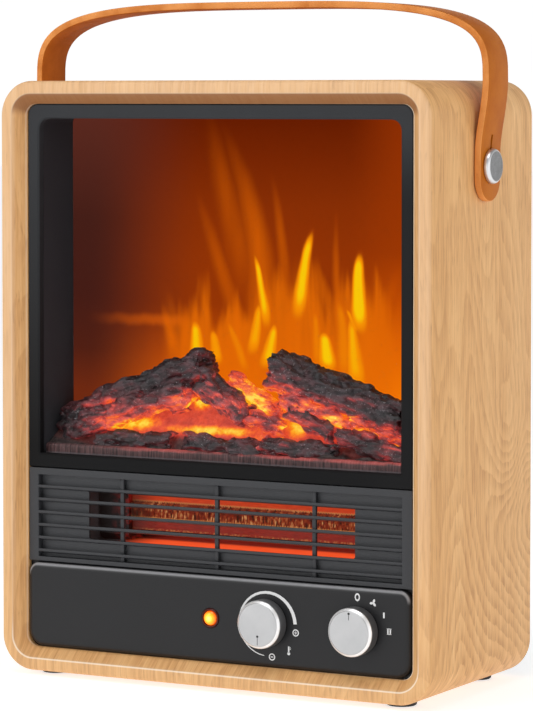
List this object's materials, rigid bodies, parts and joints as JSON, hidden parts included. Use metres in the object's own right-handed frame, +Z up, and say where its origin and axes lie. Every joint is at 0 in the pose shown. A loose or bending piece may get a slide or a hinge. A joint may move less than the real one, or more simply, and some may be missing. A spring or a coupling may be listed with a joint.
{
  "type": "ceramic space heater",
  "caption": "Tabletop ceramic fan heater: oak-look casing, flame-effect window over a log bed, slatted warm-air outlet, dial controls and a leather strap handle on studs.",
  "frame": {"origin": "on the floor under the middle of the casing", "axes": "+X to the right seen from the front, -Y out of the front, +Z up"},
  "size_m": [0.2944, 0.14, 0.3875],
  "materials": {
    "oak_finish": "printed oak finish on a moulded shell",
    "black_plastic": "satin black",
    "dark_plastic": "fine matt texture",
    "matt_lining": "matt black heat-proof paint",
    "satin_metal": "satin turned",
    "zinc_steel": "zinc plated",
    "motor_iron": "laminated",
    "motor_copper": "enamelled winding under tape",
    "bush_brass": "sintered",
    "fin_aluminium": "thin folded sheet",
    "heating_ceramic": "matt, glowing when hot",
    "window_glass": "clear",
    "flame_screen_film": "translucent diffusing sheet lit from behind",
    "charred_wood": "moulded charred logs over a translucent ember bed",
    "circuit_board": "solder mask",
    "white_nylon": "natural",
    "foot_rubber": "matt",
    "lamp_amber": "translucent amber",
    "strap_leather": "full-grain tan with a raw edge"
  },
  "bodies": {
    "casing": {"air_duct": "zinc_steel", "blower_housing": "dark_plastic", "control_panel": "black_plastic", "cord_gland": "foot_rubber", "duct_front_plate": "matt_lining", "ember_led_board": "circuit_board", "firebox_liner": "matt_lining", "flame_led_board": "circuit_board", "flame_motor": "zinc_steel", "flame_screen": "flame_screen_film", "flame_stencil": "fin_aluminium", "foot_1": "foot_rubber", "foot_2": "foot_rubber", "foot_3": "foot_rubber", "foot_4": "foot_rubber", "indicator_holder": "dark_plastic", "indicator_lens": "lamp_amber", "log_bed": "charred_wood", "lower_shelf": "zinc_steel", "mid_shelf": "zinc_steel", "mode_switch_body": "white_nylon", "motor_coil": "motor_copper", "motor_core": "motor_iron", "outlet_grille": "dark_plastic", "power_board": "circuit_board", "ptc_bar_lower": "heating_ceramic", "ptc_bar_upper": "heating_ceramic", "ptc_fins": "fin_aluminium", "ptc_holder_left": "white_nylon", "ptc_holder_right": "white_nylon", "rear_cover": "dark_plastic", "rear_screw_1": "zinc_steel", "rear_screw_2": "zinc_steel", "rear_screw_3": "zinc_steel", "rear_screw_4": "zinc_steel", "rotor_bracket_left": "zinc_steel", "rotor_bracket_right": "zinc_steel", "rotor_bush_left": "bush_brass", "rotor_bush_right": "bush_brass", "shaft_bush": "bush_brass", "stud_left": "satin_metal", "stud_nut_left": "zinc_steel", "stud_nut_right": "zinc_steel", "stud_right": "satin_metal", "terminal_block": "white_nylon", "thermal_cutout": "bush_brass", "thermostat_body": "bush_brass", "tip_over_switch": "black_plastic", "window_bezel": "black_plastic", "window_pane": "window_glass", "wood_casing": "oak_finish"},
    "handle": {"handle_strap": "strap_leather"},
    "thermostat_dial": {"thermostat_knob": "satin_metal", "thermostat_spindle": "white_nylon"},
    "mode_dial": {"mode_knob": "satin_metal", "mode_spindle": "white_nylon"},
    "flame_spinner": {"flame_rotor": "satin_metal"},
    "blower_rotor": {"blower_wheel": "dark_plastic", "blower_shaft": "satin_metal", "motor_rotor": "zinc_steel"}
  },
  "joints": [
    {"name": "handle_swing", "type": "hinge", "parent": "casing", "child": "handle", "pos_m": [0, 0, 0.295], "axis": [1, 0, 0], "range_deg": [-40, 40]},
    {"name": "thermostat_turn", "type": "hinge", "parent": "casing", "child": "thermostat_dial", "pos_m": [0.0335, -0.0611, 0.0408], "axis": [0, 1, 0], "range_deg": [0, 270]},
    {"name": "mode_turn", "type": "hinge", "parent": "casing", "child": "mode_dial", "pos_m": [0.0905, -0.0611, 0.0408], "axis": [0, 1, 0], "range_deg": [0, 90]},
    {"name": "flame_spin", "type": "hinge", "parent": "casing", "child": "flame_spinner", "pos_m": [0, 0.002, 0.1545], "axis": [1, 0, 0], "continuous": true},
    {"name": "blower_spin", "type": "hinge", "parent": "casing", "child": "blower_rotor", "pos_m": [0, 0.024, 0.093], "axis": [1, 0, 0], "continuous": true}
  ]
}
